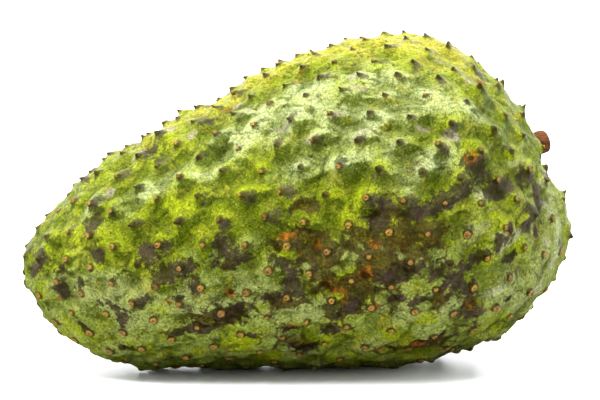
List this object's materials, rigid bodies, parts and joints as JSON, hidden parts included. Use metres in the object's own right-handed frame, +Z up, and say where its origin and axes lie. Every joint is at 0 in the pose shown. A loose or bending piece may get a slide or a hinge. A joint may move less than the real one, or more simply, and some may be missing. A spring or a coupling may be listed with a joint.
{
  "type": "soursop",
  "caption": "Whole soursop lying on its side: lopsided heart-shaped fruit, blotched green leathery skin set with soft hooked spines, short woody stalk stub.",
  "frame": {"origin": "middle of the flat spot on the belly that the fruit rests on, on the ground plane", "axes": "+X along the fruit towards the stalk end, +Z up, -Y towards the viewer; the fruit's own axis climbs 14 degrees towards the stalk and turns 10 degrees away from -Y"},
  "size_m": [0.2201, 0.1336, 0.1336],
  "materials": {
    "fruit_skin": "satin",
    "woody_stalk": "matte"
  },
  "bodies": {
    "root": {"fruit": "fruit_skin", "stem_stub": "woody_stalk"}
  },
  "joints": []
}
